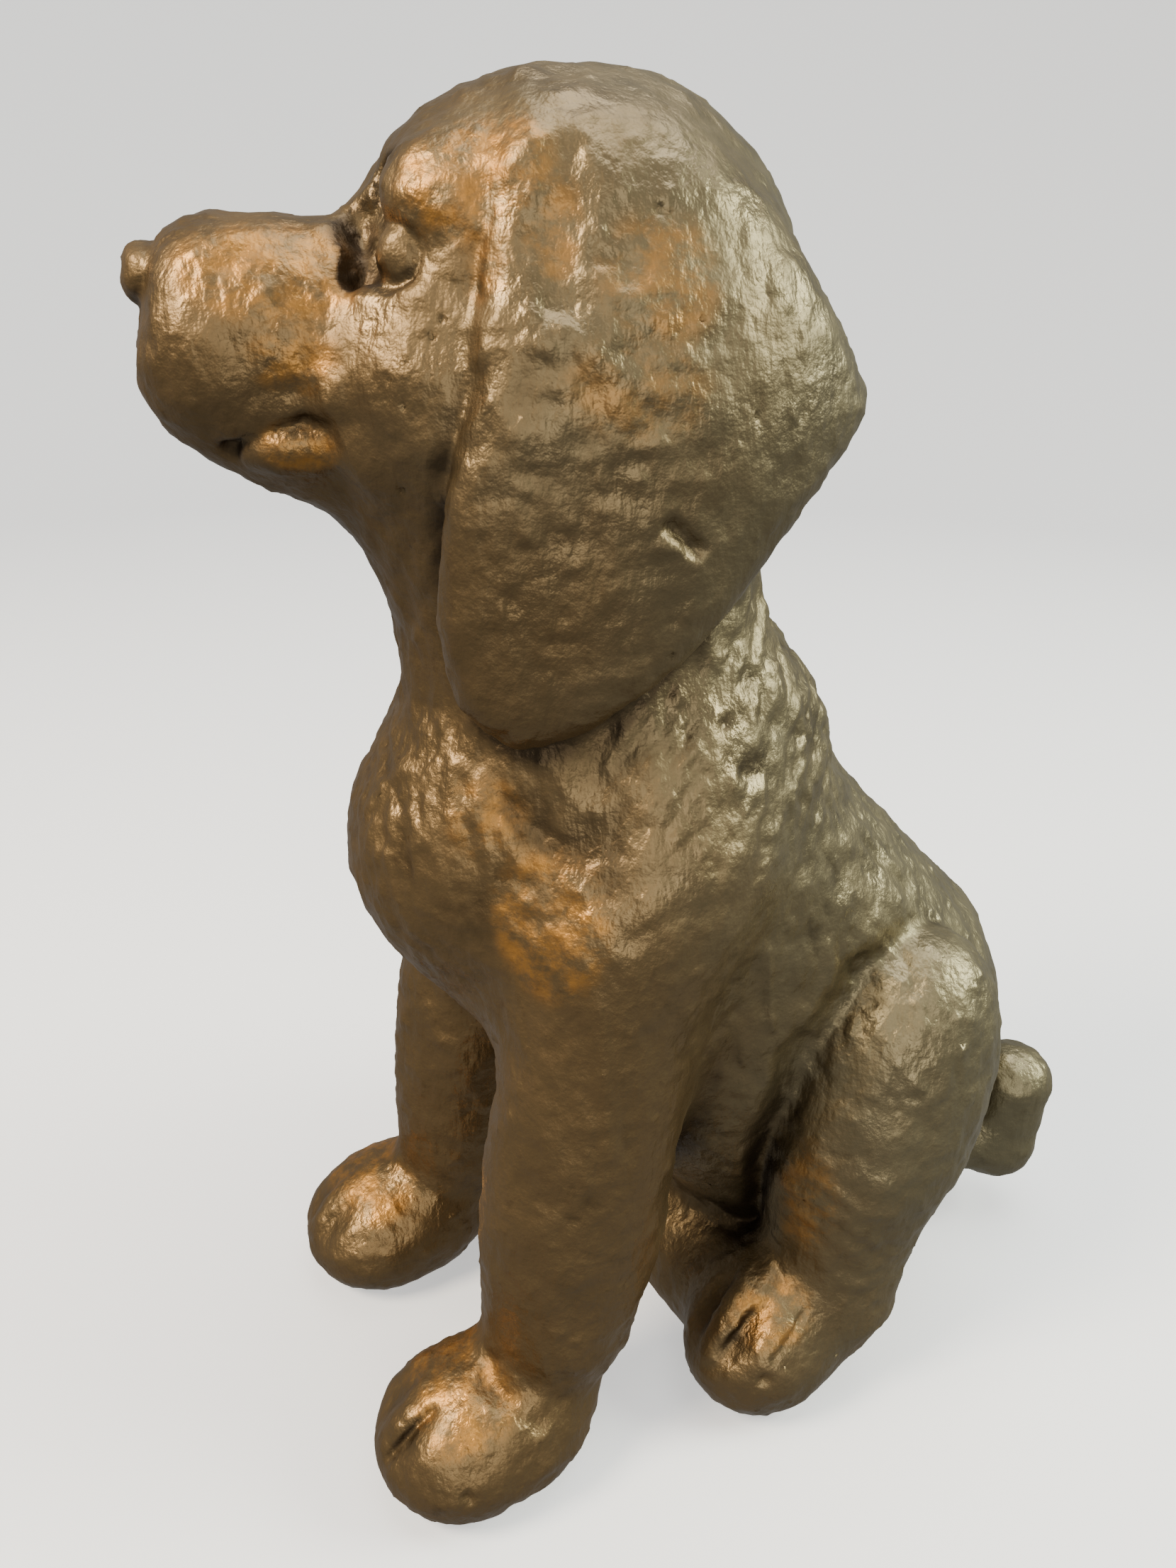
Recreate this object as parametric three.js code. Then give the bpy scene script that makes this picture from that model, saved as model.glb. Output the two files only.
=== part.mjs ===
// Sitting puppy statue: one hollow casting, shown here by its outer skin.
// Millimetres. x runs to the dog's left, y to its back, z up; z = 0 is the ground.
import * as THREE from 'three';

// The middle of the statue's box, brought to x = 0, y = 0
const BOX_MIDDLE = [0, 19];
const BRONZE_PAINT = 0x8c6c3c;

// Sampling: the space that holds the statue, with closer grid lines through the face
const SPACE = { x: [-104, 104], y: [-170, 216], z: [-6, 470] };
const FACE = { x: [-60, 60], y: [-165, -72], z: [318, 464] };
const STEP = 5;
const FACE_STEP = 3.1;
// Finished faces, and how much more closely the dog's face and its flat underside keep their shape
const TRIANGLES = 9600;
const FACE_CARE = 5;
const GROUND_CARE = 60;
// Limits while faces are joined: least area, least cosine of a face's turn, price of long edges,
// and how far off the old edge a joined point may lie, in edge lengths
const LEAST_AREA = 0.02;
const LEAST_COSINE = 0.25;
const LONG_EDGE_PRICE = 1e-3;
const REACH = 0.6;
const ON_GROUND = 0.5;

// Body masses. "blend" is the width over which a mass melts into those before it,
// "paired" masses are on both sides, "carve" takes the mass away.
const FLANK_HOLLOW = { blend: 6, carve: true, paired: true };
const TORSO = [
  { name: 'rib cage', at: [0, -26, 228], radii: [62, 68, 80] },
  { name: 'breast', at: [0, -70, 230], radii: [44, 40, 44], blend: 30 },
  { name: 'brisket', at: [0, -38, 182], radii: [42, 34, 36], blend: 24 },
  { name: 'back', from: [0, 4, 225], to: [0, 76, 130], thick: [59, 77], blend: 40 },
  { name: 'rump', at: [0, 84, 84], radii: [61, 72, 86], blend: 30 },
  { name: 'belly', at: [0, 24, 138], radii: [53, 56, 66], blend: 30 },
  { name: 'neck', from: [0, -20, 275], to: [0, -46, 345], thick: [51, 46], blend: 36 },
  { name: 'shoulder', from: [28, 0, 285], to: [44, -24, 235], thick: [24, 34], blend: 18, paired: true },
  { name: 'shoulder blade', at: [24, 23, 266], radii: [24, 24, 27], blend: 14, paired: true },
  { name: 'hollow above the thigh', from: [64, 80, 196], to: [72, 51, 183], thick: [4, 9], ...FLANK_HOLLOW },
  { name: 'hollow before the thigh', from: [72, 51, 183], to: [72, 29, 154], thick: [9, 10], ...FLANK_HOLLOW },
  { name: 'hollow of the flank', from: [72, 29, 154], to: [66, 23, 112], thick: [10, 11], ...FLANK_HOLLOW },
  { name: 'hollow of the groin', from: [66, 23, 112], to: [55, 26, 72], thick: [11, 11], ...FLANK_HOLLOW },
];
const FORELEG = [
  { name: 'upper arm', from: [48, -40, 210], to: [54, -60, 60], thick: [32, 24] },
  { name: 'forearm', at: [52, -52, 115], radii: [25, 33, 100], turn: [-7, 0, 0], blend: 14 },
];
const HAUNCH = [
  { name: 'thigh', at: [61, 74, 128], radii: [34, 40, 63], turn: [-15, 0, 0] },
  { name: 'hock', from: [62, 62, 98], to: [65, 52, 42], thick: [31, 28], blend: 20 },
];
const SEAT = [
  { name: 'seat between the hind feet', from: [-50, 30, 20], to: [50, 30, 20], thick: [29, 29] },
  { name: 'underside of the rump', at: [0, 72, 18], radii: [58, 66, 34], blend: 20 },
];
const TAIL = [
  { name: 'root', from: [4, 134, 46], to: [22, 168, 42], thick: [24, 19] },
  { name: 'bend', from: [22, 168, 42], to: [27, 175, 38], thick: [19, 17.5], blend: 4 },
  { name: 'tip', from: [27, 175, 38], to: [28, 176.5, 70.5], thick: [17.5, 18.5], blend: 4 },
];

// Creases between the toes, cut along the slope of the paw
const FORE_CREASE = { radii: [2.6, 13, 2.2], turn: [45, 0, 0], blend: 5, carve: true };
const HIND_CREASE = { radii: [2.6, 15, 2.2], turn: [42, 0, 0], blend: 5, carve: true };
// Paws, each in its own frame: the toes point along -y from "at"
const FOREPAW = {
  at: [56, -90, 0],
  heading: 0,
  masses: [
    { name: 'pad', at: [0, 4, 23], radii: [31, 38, 28] },
    { name: 'toes', at: [0, -13, 19], radii: [30, 27, 22], blend: 10 },
    { name: 'inner crease', at: [-11, -31, 33], ...FORE_CREASE },
    { name: 'outer crease', at: [9, -31, 33], ...FORE_CREASE },
  ],
};
const HINDPAW = {
  at: [66, 24, 0],
  heading: 14,
  masses: [
    { name: 'pad', at: [0, 10, 27], radii: [28, 42, 32] },
    { name: 'toes', at: [0, -4, 22], radii: [27, 29, 25], blend: 10 },
    { name: 'inner crease', at: [-10, -22, 39], ...HIND_CREASE },
    { name: 'outer crease', at: [9, -22, 39], ...HIND_CREASE },
  ],
};

// The head looks 14 degrees to the dog's right and 4 degrees up
const HEAD = { at: [0, -50, 387], yaw: -14, pitch: 4 };
const MUZZLE_FRONT = -107;
const MUZZLE = [
  { name: 'bridge', from: [0, -30, -3], to: [0, -84, -3], thick: [33, 31] },
  { name: 'jaw', from: [0, -30, -20], to: [0, -80, -9], thick: [31, 27], blend: 8 },
  { name: 'blunt end', frontAt: MUZZLE_FRONT, blend: 16 },
];
const CUT_PAIR = { carve: true, paired: true };
const SKULL = [
  { name: 'dome', at: [0, 2, 18], radii: [50, 53, 53] },
  { name: 'back of the head', at: [0, 30, 16], radii: [48, 47, 54], blend: 20 },
  { name: 'nape', from: [0, 34, -6], to: [0, 34, -50], thick: [43, 42], blend: 24 },
  { name: 'brow', at: [28, -24, 34], radii: [15, 18, 16], blend: 12, paired: true },
  { name: 'muzzle', masses: MUZZLE, blend: 12 },
  { name: 'upper lip', at: [14, -79, -12], radii: [17, 26, 19], blend: 8, paired: true },
  { name: 'chin', at: [0, -60, -25], radii: [29, 30, 21], blend: 8 },
  { name: 'cheek', at: [30, -18, -12], radii: [25, 34, 32], blend: 14, paired: true },
  { name: 'throat', from: [0, -24, -26], to: [0, 6, -70], thick: [32, 38], blend: 20 },
  { name: 'nose', at: [0, -105, 11], radii: [13, 6, 8], blend: 2 },
  { name: 'tear hollow', at: [22, -49, 31], radii: [14, 7, 12], turn: [12, 0, 0], blend: 4, ...CUT_PAIR },
  { name: 'tear slot', from: [17, -44, 38], to: [27, -48, 15], thick: [6, 4.5], blend: 3, ...CUT_PAIR },
  { name: 'eye socket', at: [36, -42, 20], radii: [9, 9, 9], blend: 4, ...CUT_PAIR },
  { name: 'eye', at: [32, -36, 21], radii: [8, 8, 9], blend: 1, paired: true },
  { name: 'upper lid', from: [24, -38, 43], to: [33, -34, 35], thick: [4.5, 4.5], blend: 4, paired: true },
  { name: 'outer lid', from: [33, -34, 35], to: [44, -23, 19], thick: [4.5, 3], blend: 3, paired: true },
  { name: 'lower lid', from: [29, -46, 10], to: [42, -33, 11], thick: [3, 3], blend: 4, paired: true },
  { name: 'mouth line', from: [18, -88, -32], to: [35, -56, -21], thick: [3, 3], blend: 3, ...CUT_PAIR },
  { name: 'lower lip', at: [23, -62, -29], radii: [9, 15, 7], turn: [8, 0, 0], blend: 3, paired: true },
  { name: 'lip corner', at: [30, -52, -14], radii: [8, 8, 9], blend: 4, paired: true },
  { name: 'jowl', at: [33, -41, -28], radii: [8, 11, 10], blend: 6, paired: true },
];
// Ear flap: outline in y and z of the head's frame, going round from the front of its root
const EAR = {
  outline: [
    [1, 46], [3, 28], [-6, 4], [-16, -38], [-17, -66], [-12, -87], [-2, -95],
    [11, -91], [38, -68], [62, -35], [85, -6], [60, 24], [28, 44],
  ],
  rounding: 11,
  halfThickness: 9,
  edge: 12,
  standOff: 60,
  widest: { y: 22, z: -20 },
  fallIn: { above: 0.0043, below: 0.001, front: 0.0016, back: 0.0056 },
};

// Where the ear leaves the crown, in the head's frame: a ridge with a shallow channel behind it
const EAR_ROOT = [
  { name: 'top ridge', from: [20, -7, 63], to: [43, -8, 45], thick: [5, 6], blend: 3, paired: true },
  { name: 'front ridge', from: [43, -8, 45], to: [54, -15, 2], thick: [6, 6.5], blend: 4, paired: true },
  { name: 'channel', from: [54, 0, 48], to: [66, -2, 16], thick: [3, 5], blend: 7, ...CUT_PAIR },
];

// Widths over which the parts meet
const JOINS = {
  foreleg: 20, forepaw: 12, haunch: 4, seat: 10, hindpaw: 8, tail: 4, head: 24, sole: 3,
};
// The ear is cut clear of the cheek below "low" and melts into the crown above "high"
const EAR_JOIN = { low: 18, high: 46, clear: 4, melted: 16 };

function turnMatrix([rx, ry, rz]) {
  const euler = new THREE.Euler(
    THREE.MathUtils.degToRad(rx),
    THREE.MathUtils.degToRad(ry),
    THREE.MathUtils.degToRad(rz),
    'ZYX',
  );
  return new THREE.Matrix4().makeRotationFromEuler(euler).elements;
}

// A point seen from a frame at "at", turned by the matrix
function localPoint(p, at, m) {
  const x = p[0] - at[0];
  const y = p[1] - at[1];
  const z = p[2] - at[2];
  if (!m) return [x, y, z];
  return [
    x * m[0] + y * m[1] + z * m[2],
    x * m[4] + y * m[5] + z * m[6],
    x * m[8] + y * m[9] + z * m[10],
  ];
}

function smoothMin(a, b, width) {
  const h = Math.max(width - Math.abs(a - b), 0) / width;
  return Math.min(a, b) - h * h * width * 0.25;
}

function smoothMax(a, b, width) {
  return -smoothMin(-a, -b, width);
}

function ellipsoidDistance(p, mass) {
  const [x, y, z] = localPoint(p, mass.at, mass.matrix);
  const [a, b, c] = mass.radii;
  const k0 = Math.hypot(x / a, y / b, z / c);
  const k1 = Math.hypot(x / (a * a), y / (b * b), z / (c * c));
  return (k0 * (k0 - 1)) / Math.max(k1, 1e-9);
}

function limbDistance(p, mass) {
  const [ax, ay, az] = mass.from;
  const bx = mass.to[0] - ax;
  const by = mass.to[1] - ay;
  const bz = mass.to[2] - az;
  const along = (p[0] - ax) * bx + (p[1] - ay) * by + (p[2] - az) * bz;
  const t = Math.min(Math.max(along / (bx * bx + by * by + bz * bz), 0), 1);
  const gap = Math.hypot(p[0] - ax - t * bx, p[1] - ay - t * by, p[2] - az - t * bz);
  return gap - (mass.thick[0] + (mass.thick[1] - mass.thick[0]) * t);
}

function massDistance(p, mirrored, mass) {
  const q = mass.paired ? mirrored : p;
  if (mass.masses) return groupDistance(p, mass.masses);
  if (mass.radii) return ellipsoidDistance(q, mass);
  return limbDistance(q, mass);
}

// The distance once the masses are added to it, or taken away from it
function withMasses(start, p, mirrored, masses) {
  let distance = start;
  for (const mass of masses) {
    if (mass.frontAt !== undefined) {
      distance = smoothMax(distance, mass.frontAt - p[1], mass.blend);
    } else if (mass.carve) {
      distance = smoothMax(distance, -massDistance(p, mirrored, mass), mass.blend);
    } else {
      distance = smoothMin(distance, massDistance(p, mirrored, mass), mass.blend);
    }
  }
  return distance;
}

function groupDistance(p, masses) {
  const mirrored = [Math.abs(p[0]), p[1], p[2]];
  return withMasses(massDistance(p, mirrored, masses[0]), p, mirrored, masses.slice(1));
}

function outlineDistance(s, t, outline) {
  let nearest = Infinity;
  let inside = false;
  for (let i = 0; i < outline.length; i += 1) {
    const [as, at] = outline[i];
    const [bs, bt] = outline[(i + 1) % outline.length];
    const es = bs - as;
    const et = bt - at;
    const u = Math.min(Math.max(((s - as) * es + (t - at) * et) / (es * es + et * et), 0), 1);
    nearest = Math.min(nearest, Math.hypot(s - as - u * es, t - at - u * et));
    if (at > t !== bt > t && s < (es * (t - at)) / et + as) inside = !inside;
  }
  return inside ? -nearest : nearest;
}

function earDistance([x, y, z]) {
  const rise = z - EAR.widest.z;
  const reach = y - EAR.widest.y;
  const fall = rise > 0 ? EAR.fallIn.above : EAR.fallIn.below;
  const turnIn = reach > 0 ? EAR.fallIn.back : EAR.fallIn.front;
  const middle = EAR.standOff - fall * rise * rise - turnIn * reach * reach;
  const outline = outlineDistance(y, z, EAR.outline) - EAR.rounding;
  return smoothMax(outline, Math.abs(x - middle) - EAR.halfThickness, EAR.edge);
}

function earJoin(z) {
  const t = THREE.MathUtils.smoothstep(z, EAR_JOIN.low, EAR_JOIN.high);
  return EAR_JOIN.clear + (EAR_JOIN.melted - EAR_JOIN.clear) * t;
}

function pawDistance(p, paw) {
  const q = localPoint(p, paw.at, paw.matrix);
  return smoothMax(groupDistance(q, paw.masses), -q[2], JOINS.sole);
}

// Signed distance to the casting's skin: below zero inside
function dogDistance(p) {
  const side = [Math.abs(p[0]), p[1], p[2]];
  const head = localPoint(p, HEAD.at, HEAD.matrix);
  const headSide = [Math.abs(head[0]), head[1], head[2]];
  let foreleg = groupDistance(side, FORELEG);
  foreleg = smoothMin(foreleg, pawDistance(side, FOREPAW), JOINS.forepaw);
  let d = smoothMin(groupDistance(p, TORSO), foreleg, JOINS.foreleg);
  d = smoothMin(d, groupDistance(side, HAUNCH), JOINS.haunch);
  d = smoothMin(d, groupDistance(p, SEAT), JOINS.seat);
  d = smoothMin(d, pawDistance(side, HINDPAW), JOINS.hindpaw);
  d = smoothMin(d, groupDistance(p, TAIL), JOINS.tail);
  d = smoothMin(d, groupDistance(head, SKULL), JOINS.head);
  d = smoothMin(d, earDistance(headSide), earJoin(head[2]));
  d = withMasses(d, head, headSide, EAR_ROOT);
  return Math.max(d, -p[2]);
}

function prepare(masses) {
  for (const mass of masses) {
    if (mass.turn) mass.matrix = turnMatrix(mass.turn);
    if (mass.masses) prepare(mass.masses);
  }
}

function prepareFrames() {
  [TORSO, FORELEG, HAUNCH, SEAT, TAIL, SKULL, FOREPAW.masses, HINDPAW.masses].forEach(prepare);
  HINDPAW.matrix = turnMatrix([0, 0, HINDPAW.heading]);
  HEAD.matrix = turnMatrix([-HEAD.pitch, 0, HEAD.yaw]);
}

// Grid lines through the whole space, closer together through the face
function gridLines([low, high], [fineLow, fineHigh]) {
  const lines = [];
  for (let v = low; v < high; v += v >= fineLow && v < fineHigh ? FACE_STEP : STEP) lines.push(v);
  return lines;
}

// Corner paths of the six tetrahedra that fill a grid cell, and which of them are right-handed
const AXIS_ORDERS = [[0, 1, 2], [1, 2, 0], [2, 0, 1], [0, 2, 1], [2, 1, 0], [1, 0, 2]];
const RIGHT_HANDED = 3;
// Even orders of a tetrahedron's corners, by the corners that lie inside
const ONE_INSIDE = { 1: [0, 1, 2, 3], 2: [1, 0, 3, 2], 4: [2, 0, 1, 3], 8: [3, 0, 2, 1] };
const TWO_INSIDE = {
  3: [0, 1, 2, 3],
  5: [0, 2, 3, 1],
  9: [0, 3, 1, 2],
  6: [1, 2, 0, 3],
  10: [1, 3, 2, 0],
  12: [2, 3, 0, 1],
};
const ALL_INSIDE = 15;

// Pairs of corners whose edges the skin crosses, as outward faces of one tetrahedron
function crossedEdges(inside) {
  if (TWO_INSIDE[inside]) {
    const [a, b, c, d] = TWO_INSIDE[inside];
    return [[[a, c], [a, d], [b, d]], [[a, c], [b, d], [b, c]]];
  }
  if (ONE_INSIDE[inside]) {
    const [a, b, c, d] = ONE_INSIDE[inside];
    return [[[a, b], [a, c], [a, d]]];
  }
  const [a, b, c, d] = ONE_INSIDE[ALL_INSIDE - inside];
  return [[[a, b], [a, d], [a, c]]];
}

// Points that lie on the ground, but for rounding, are set right on it
function onGround([x, y, z]) {
  return [x, y, Math.abs(z) < ON_GROUND ? 0 : z];
}

// Closed skin of the sampled field, one point on each tetrahedron edge it crosses
function skin(xs, ys, zs) {
  const [nx, ny, nz] = [xs.length, ys.length, zs.length];
  const field = new Float64Array(nx * ny * nz);
  const place = (g) => [xs[Math.floor(g / (ny * nz))], ys[Math.floor(g / nz) % ny], zs[g % nz]];
  for (let g = 0; g < field.length; g += 1) field[g] = dogDistance(place(g));

  const steps = [ny * nz, nz, 1];
  const farCorner = steps[0] + steps[1] + steps[2];
  const paths = AXIS_ORDERS.map(([a, b]) => [0, steps[a], steps[a] + steps[b], farCorner]);
  const points = [];
  const faces = [];
  const pointOn = new Map();
  const crossing = (g, h) => {
    const key = Math.min(g, h) * field.length + Math.max(g, h);
    if (!pointOn.has(key)) {
      const [p, q] = [place(g), place(h)];
      const t = field[g] / (field[g] - field[h]);
      pointOn.set(key, points.length);
      points.push(onGround(p.map((v, i) => v + t * (q[i] - v))));
    }
    return pointOn.get(key);
  };
  for (let i = 0; i < nx - 1; i += 1) {
    for (let j = 0; j < ny - 1; j += 1) {
      for (let k = 0; k < nz - 1; k += 1) {
        const cell = i * steps[0] + j * steps[1] + k;
        paths.forEach((path, order) => {
          let inside = 0;
          for (let c = 0; c < 4; c += 1) inside += field[cell + path[c]] < 0 ? 1 << c : 0;
          if (inside === 0 || inside === ALL_INSIDE) return;
          for (const face of crossedEdges(inside)) {
            const corners = face.map(([a, b]) => crossing(cell + path[a], cell + path[b]));
            faces.push(order < RIGHT_HANDED ? corners : corners.reverse());
          }
        });
      }
    }
  }
  return { points, faces };
}

function faceNormal(p, q, r) {
  const ux = q[0] - p[0];
  const uy = q[1] - p[1];
  const uz = q[2] - p[2];
  const vx = r[0] - p[0];
  const vy = r[1] - p[1];
  const vz = r[2] - p[2];
  return [uy * vz - uz * vy, uz * vx - ux * vz, ux * vy - uy * vx];
}

// Sum over faces of the squared distance to their planes, as ten coefficients
function planeTerms(points, face, care) {
  const n = faceNormal(...face.map((v) => points[v]));
  const area = Math.hypot(...n);
  if (area < 1e-12) return new Array(10).fill(0);
  const [a, b, c] = n.map((v) => v / area);
  const d = -(a * points[face[0]][0] + b * points[face[0]][1] + c * points[face[0]][2]);
  const terms = [a * a, a * b, a * c, a * d, b * b, b * c, b * d, c * c, c * d, d * d];
  return terms.map((v) => v * area * care);
}

function planeCost(q, [x, y, z]) {
  return (
    q[0] * x * x + 2 * q[1] * x * y + 2 * q[2] * x * z + 2 * q[3] * x
    + q[4] * y * y + 2 * q[5] * y * z + 2 * q[6] * y
    + q[7] * z * z + 2 * q[8] * z + q[9]
  );
}

// The point with the least plane cost, kept near the edge it replaces
function bestPoint(q, a, b) {
  const middle = a.map((v, i) => (v + b[i]) / 2);
  const candidates = [a, b, middle];
  const m = new THREE.Matrix3().set(q[0], q[1], q[2], q[1], q[4], q[5], q[2], q[5], q[7]);
  const size = q[0] + q[4] + q[7];
  if (Math.abs(m.determinant()) > 1e-4 * size * size * size) {
    const best = new THREE.Vector3(-q[3], -q[6], -q[8]).applyMatrix3(m.invert());
    const reach = Math.hypot(a[0] - b[0], a[1] - b[1], a[2] - b[2]);
    if (Math.hypot(best.x - middle[0], best.y - middle[1], best.z - middle[2]) < REACH * reach) {
      candidates.push([best.x, best.y, best.z]);
    }
  }
  const costs = candidates.map((p) => planeCost(q, p));
  const least = Math.min(...costs);
  return { point: candidates[costs.indexOf(least)], cost: Math.max(least, 0) };
}

// Smallest-cost-first queue
class Queue {
  constructor() {
    this.items = [];
  }

  push(item) {
    const { items } = this;
    let i = items.push(item) - 1;
    while (i > 0) {
      const parent = (i - 1) >> 1;
      if (items[parent].cost <= items[i].cost) break;
      [items[parent], items[i]] = [items[i], items[parent]];
      i = parent;
    }
  }

  pop() {
    const { items } = this;
    const top = items[0];
    const last = items.pop();
    if (items.length === 0) return top;
    items[0] = last;
    let i = 0;
    for (;;) {
      let child = 2 * i + 1;
      if (child >= items.length) break;
      if (child + 1 < items.length && items[child + 1].cost < items[child].cost) child += 1;
      if (items[i].cost <= items[child].cost) break;
      [items[child], items[i]] = [items[i], items[child]];
      i = child;
    }
    return top;
  }
}

// Joins the ends of the cheapest edges until few enough faces are left.
// The skin stays closed: an edge goes only if its ends share exactly two neighbours.
function simplify({ points, faces }, target) {
  const care = ([, y, z]) => {
    if (z < ON_GROUND) return GROUND_CARE;
    return y < FACE.y[1] && z > FACE.z[0] ? FACE_CARE : 1;
  };
  const terms = points.map(() => new Array(10).fill(0));
  const around = points.map(() => new Set());
  faces.forEach((face, f) => {
    const highest = face.map((v) => points[v]).sort((p, q) => q[2] - p[2])[0];
    const planes = planeTerms(points, face, care(highest));
    for (const v of face) {
      around[v].add(f);
      for (let i = 0; i < 10; i += 1) terms[v][i] += planes[i];
    }
  });
  const version = new Int32Array(points.length);
  const queue = new Queue();
  const offer = (a, b) => {
    const q = terms[a].map((v, i) => v + terms[b][i]);
    const best = bestPoint(q, points[a], points[b]);
    const length = Math.hypot(...points[a].map((v, i) => v - points[b][i]));
    const cost = best.cost + LONG_EDGE_PRICE * length ** 4;
    queue.push({ a, b, point: best.point, cost, stamp: version[a] + version[b] });
  };
  const neighbours = (v) => {
    const found = new Set();
    for (const f of around[v]) faces[f].forEach((w) => found.add(w));
    found.delete(v);
    return found;
  };
  const turnsOver = (v, other, point) => {
    for (const f of around[v]) {
      const face = faces[f];
      if (face.includes(other)) continue;
      const before = faceNormal(...face.map((w) => points[w]));
      const after = faceNormal(...face.map((w) => (w === v ? point : points[w])));
      const dot = before[0] * after[0] + before[1] * after[1] + before[2] * after[2];
      if (Math.hypot(...before) < LEAST_AREA) continue;
      if (Math.hypot(...after) < LEAST_AREA) return true;
      if (dot < LEAST_COSINE * Math.hypot(...before) * Math.hypot(...after)) return true;
    }
    return false;
  };
  points.forEach((_, a) => neighbours(a).forEach((b) => b > a && offer(a, b)));
  let left = faces.length;
  while (left > target && queue.items.length > 0) {
    const { a, b, point, stamp } = queue.pop();
    if (!around[a].size || !around[b].size || stamp !== version[a] + version[b]) continue;
    const nearA = neighbours(a);
    const shared = [...neighbours(b)].filter((v) => nearA.has(v));
    if (!nearA.has(b) || shared.length !== 2) continue;
    if (turnsOver(a, b, point) || turnsOver(b, a, point)) continue;
    points[a] = point;
    terms[a] = terms[a].map((v, i) => v + terms[b][i]);
    for (const f of around[b]) {
      if (faces[f].includes(a)) {
        faces[f].forEach((v) => v !== b && around[v].delete(f));
        faces[f] = null;
        left -= 1;
      } else {
        faces[f] = faces[f].map((v) => (v === b ? a : v));
        around[a].add(f);
      }
    }
    around[b] = new Set();
    version[a] += points.length;
    neighbours(a).forEach((v) => offer(a, v));
  }
  return { points, faces: faces.filter(Boolean) };
}

function dogGeometry() {
  prepareFrames();
  const xs = gridLines(SPACE.x, FACE.x);
  const ys = gridLines(SPACE.y, FACE.y);
  const zs = gridLines(SPACE.z, FACE.z);
  const { points, faces } = simplify(skin(xs, ys, zs), TRIANGLES);
  const used = new Map();
  const coordinates = [];
  const indices = [];
  for (const v of faces.flat()) {
    if (!used.has(v)) {
      used.set(v, used.size);
      const [x, y, z] = onGround(points[v]);
      coordinates.push(x - BOX_MIDDLE[0], y - BOX_MIDDLE[1], z);
    }
    indices.push(used.get(v));
  }
  const geometry = new THREE.BufferGeometry();
  geometry.setAttribute('position', new THREE.Float32BufferAttribute(coordinates, 3));
  geometry.setIndex(indices);
  geometry.computeVertexNormals();
  return geometry;
}

function mesh(name, geometry) {
  const look = { color: BRONZE_PAINT, metalness: 0.7, roughness: 0.42 };
  const paint = new THREE.MeshStandardMaterial(look);
  const part = new THREE.Mesh(geometry, paint);
  part.name = name;
  return part;
}

const statue = new THREE.Group();
statue.name = 'cast_iron_dog_statue';
statue.add(mesh('dog', dogGeometry()));

export default statue;
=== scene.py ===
import math

import bpy
import numpy as np
from mathutils import Matrix, Vector


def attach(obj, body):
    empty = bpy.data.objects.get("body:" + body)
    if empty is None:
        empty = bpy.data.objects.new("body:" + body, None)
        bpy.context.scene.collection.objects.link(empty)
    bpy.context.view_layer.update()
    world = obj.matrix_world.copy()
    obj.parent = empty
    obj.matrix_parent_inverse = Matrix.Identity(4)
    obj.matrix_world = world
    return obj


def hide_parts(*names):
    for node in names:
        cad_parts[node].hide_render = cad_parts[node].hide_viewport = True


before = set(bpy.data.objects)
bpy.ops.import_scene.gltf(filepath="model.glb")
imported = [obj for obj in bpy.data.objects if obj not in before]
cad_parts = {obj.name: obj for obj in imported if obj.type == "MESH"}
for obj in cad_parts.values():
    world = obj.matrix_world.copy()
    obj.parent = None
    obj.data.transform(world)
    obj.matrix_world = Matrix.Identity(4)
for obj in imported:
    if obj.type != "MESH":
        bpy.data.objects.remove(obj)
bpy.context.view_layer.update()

# Lengths are millimetres in the dog's own frame until a mesh is made: x to its left, y to its back, z up
MM = 0.001
BOX_MIDDLE = np.array([0.0, 19.0, 0.0])
SPACE = ((-100.0, 100.0), (-164.0, 202.0), (-3.0, 465.0))
COARSE_STEP = 5.2
FINE_STEPS = 4
CHUNK_POINTS = 200000
MOST_TRIANGLES = 190000
CORNERS = list(np.ndindex(2, 2, 2))

# Photograph: camera place and angles in the dog's frame, focal length in its pixels
CAMERA_AT = (341.9, -188.3, 411.5)
CAMERA_AZIMUTH, CAMERA_PITCH, CAMERA_ROLL = 64.7, 24.1, -1.1
PHOTO_HEIGHT = 2212
FOCAL_PIXELS = 1661
SENSOR = 36.0
CLIP = (0.02, 50)


# Masses of the casting: each melts over its blend width into those before it, or is carved from them
def mass(name, blend=0, **shape):
    return dict(name=name, blend=blend, **shape)


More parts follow.
